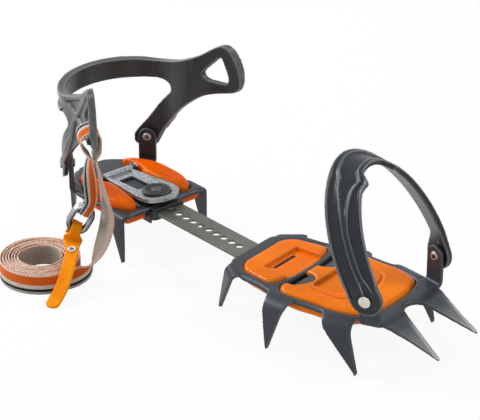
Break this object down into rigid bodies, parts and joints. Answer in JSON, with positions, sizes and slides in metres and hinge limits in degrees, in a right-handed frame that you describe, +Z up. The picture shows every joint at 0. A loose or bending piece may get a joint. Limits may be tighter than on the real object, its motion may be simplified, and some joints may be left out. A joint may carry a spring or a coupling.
{
  "type": "mountaineering crampon",
  "caption": "Strap-on mountaineering crampon: steel toe and heel frames with points on a sliding linking bar, anti-balling plates, toe and heel cradles and a strap.",
  "frame": {"origin": "bottom centre of the bounding box of the metal and cradles, on the ground under the point tips, the strap left out", "axes": "+X along the linking bar towards the toe, +Z up, +Y to the wearer's left"},
  "size_m": [0.3508, 0.1931, 0.1371],
  "materials": {
    "frame_steel": "dark satin coating over bent sheet steel",
    "antiball_plastic": "glossy orange moulding",
    "bar_steel": "grey spring steel strip",
    "cradle_plastic": "dark flexible moulding, satin",
    "rivet_steel": "bright steel",
    "black_plastic": "black moulding",
    "latch_metal": "light grey pressed metal",
    "webbing": "woven strap with orange, white, black and grey stripes",
    "ring_steel": "bright wire",
    "tab_plastic": "yellow-orange tongue"
  },
  "bodies": {
    "front": {"front_frame": "frame_steel", "front_antiball_plate": "antiball_plastic", "toe_rivet_right": "rivet_steel", "toe_rivet_left": "rivet_steel"},
    "toe_cradle": {"toe_cradle": "cradle_plastic"},
    "linking_bar": {"linking_bar": "bar_steel"},
    "heel": {"heel_frame": "frame_steel", "heel_antiball_plate": "antiball_plastic", "bar_guide": "black_plastic", "latch_pivot_pin": "rivet_steel", "heel_cradle": "cradle_plastic", "heel_rivet_right": "rivet_steel", "heel_rivet_left": "rivet_steel", "strap": "webbing", "buckle_ring_upper": "ring_steel", "buckle_ring_lower": "ring_steel", "pull_tab": "tab_plastic", "pull_tab_eyelet": "rivet_steel"},
    "latch": {"length_latch": "latch_metal", "latch_knob": "black_plastic", "latch_pin": "rivet_steel"}
  },
  "joints": [
    {"name": "toe_cradle_tilt", "type": "hinge", "parent": "front", "child": "toe_cradle", "pos_m": [0.12834, 0.02183, 0.055], "axis": [-0.1857, 0.9826, 0], "range_deg": [-12, 12]},
    {"name": "bar_droop", "type": "hinge", "parent": "front", "child": "linking_bar", "pos_m": [0.05917, 0.00876, 0.0317], "axis": [-0.1857, 0.9826, 0], "range_deg": [-5, 0]},
    {"name": "length_slide", "type": "slide", "parent": "linking_bar", "child": "heel", "axis": [1, 0, 0], "range_m": [-0.0243, 0.0486]},
    {"name": "latch_lift", "type": "hinge", "parent": "heel", "child": "latch", "pos_m": [-0.13934, -0.00182, 0.0389], "axis": [0, -1, 0], "range_deg": [-2.8, 25]}
  ]
}
